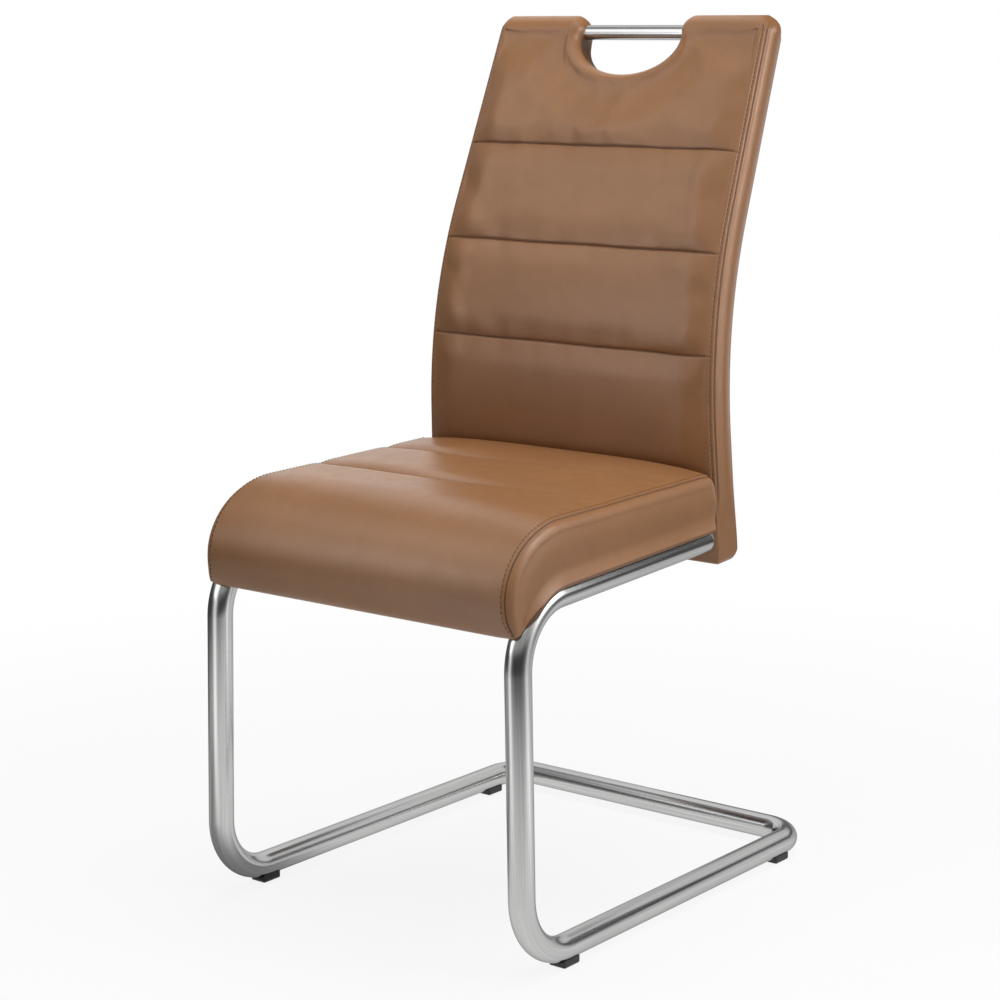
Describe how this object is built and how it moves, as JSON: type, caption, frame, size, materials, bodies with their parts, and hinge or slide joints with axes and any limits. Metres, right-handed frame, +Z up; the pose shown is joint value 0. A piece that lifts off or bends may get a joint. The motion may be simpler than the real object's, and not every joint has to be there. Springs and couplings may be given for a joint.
{
  "type": "sled base chair",
  "caption": "Cantilever dining chair: bent steel tube sled, padded seat with a rounded nose, and a tall S-curved back with sewn channels and a grip bar in a cut-out.",
  "frame": {"origin": "on the floor, under the middle of the chair's overall width and depth", "axes": "+Z up, -Y the way the sitter faces, +X across the chair"},
  "size_m": [0.451, 0.5698, 0.9655],
  "materials": {
    "brushed_steel": "brushed satin",
    "tan_leather": "satin tan-brown leather cloth",
    "black_plastic": "matt black",
    "black_steel": "black paint",
    "zinc_steel": "zinc plated",
    "plywood": "raw plywood and dowel",
    "foam": "cut upholstery foam",
    "dust_cloth": "black non-woven cloth"
  },
  "bodies": {
    "root": {"back_board": "plywood", "back_bracket_left": "black_steel", "back_bracket_right": "black_steel", "back_cover_front": "tan_leather", "back_cover_rear": "tan_leather", "back_foam": "foam", "bolt_back_1_left": "zinc_steel", "bolt_back_1_right": "zinc_steel", "bolt_back_2_left": "zinc_steel", "bolt_back_2_right": "zinc_steel", "bolt_seat_1_left": "zinc_steel", "bolt_seat_1_right": "zinc_steel", "bolt_seat_2_left": "zinc_steel", "bolt_seat_2_right": "zinc_steel", "bolt_strap_front_left": "zinc_steel", "bolt_strap_front_right": "zinc_steel", "bolt_strap_rear_left": "zinc_steel", "bolt_strap_rear_right": "zinc_steel", "cross_strap_front": "black_steel", "cross_strap_rear": "black_steel", "glide_front_left": "black_plastic", "glide_front_right": "black_plastic", "glide_rear_left": "black_plastic", "glide_rear_right": "black_plastic", "grip_bar": "brushed_steel", "grip_dowel_left": "plywood", "grip_dowel_right": "plywood", "grip_screw_left": "zinc_steel", "grip_screw_right": "zinc_steel", "notch_lining": "tan_leather", "rail_plug_left": "brushed_steel", "rail_plug_right": "brushed_steel", "seat_board": "plywood", "seat_cover": "tan_leather", "seat_dust_cover": "dust_cloth", "seat_foam": "foam", "sled_tube": "brushed_steel", "tee_nut_back_1_left": "zinc_steel", "tee_nut_back_1_right": "zinc_steel", "tee_nut_back_2_left": "zinc_steel", "tee_nut_back_2_right": "zinc_steel", "tee_nut_seat_1_left": "zinc_steel", "tee_nut_seat_1_right": "zinc_steel", "tee_nut_seat_2_left": "zinc_steel", "tee_nut_seat_2_right": "zinc_steel", "tee_nut_strap_front_left": "zinc_steel", "tee_nut_strap_front_right": "zinc_steel", "tee_nut_strap_rear_left": "zinc_steel", "tee_nut_strap_rear_right": "zinc_steel"}
  },
  "joints": []
}
